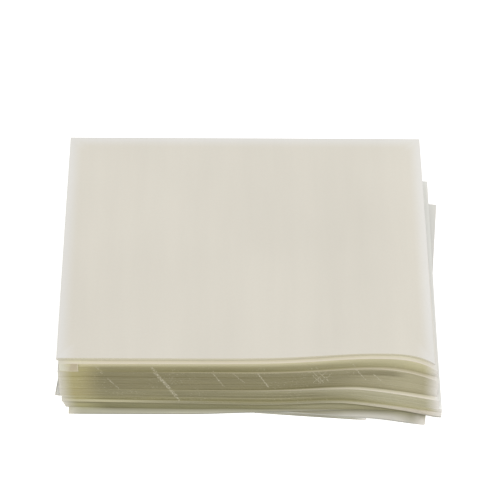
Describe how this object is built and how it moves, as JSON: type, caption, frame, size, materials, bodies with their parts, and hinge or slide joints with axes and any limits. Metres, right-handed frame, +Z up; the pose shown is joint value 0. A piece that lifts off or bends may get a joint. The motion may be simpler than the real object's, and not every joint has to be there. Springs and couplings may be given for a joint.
{
  "type": "stack of edible rice paper",
  "caption": "Low stack of thin rectangular edible rice paper sheets in loosely offset bundles, humped and sagging at the front right corner over a tucked-in offcut.",
  "frame": {"origin": "centre of the whole outline, on the surface that the stack lies on", "axes": "+Z up, +X along the long side of the sheets to the right, front towards -Y"},
  "size_m": [0.0966, 0.0804, 0.0201],
  "materials": {
    "cream_sheet": "smooth translucent cream sheet, satin",
    "sheet_edges": "many thin cut edges, olive, paler towards the corners",
    "dark_sheet_edges": "many thin cut edges, dark olive",
    "thin_sheet": "few thin translucent sheets, pale grey-green"
  },
  "bodies": {
    "root": {"top_sheets": "cream_sheet", "second_bundle": "sheet_edges", "third_bundle": "sheet_edges", "fourth_bundle": "sheet_edges", "fifth_bundle": "sheet_edges", "sixth_bundle": "dark_sheet_edges", "bottom_sheets": "thin_sheet", "turned_sheets": "thin_sheet", "offcut": "thin_sheet"}
  },
  "joints": []
}
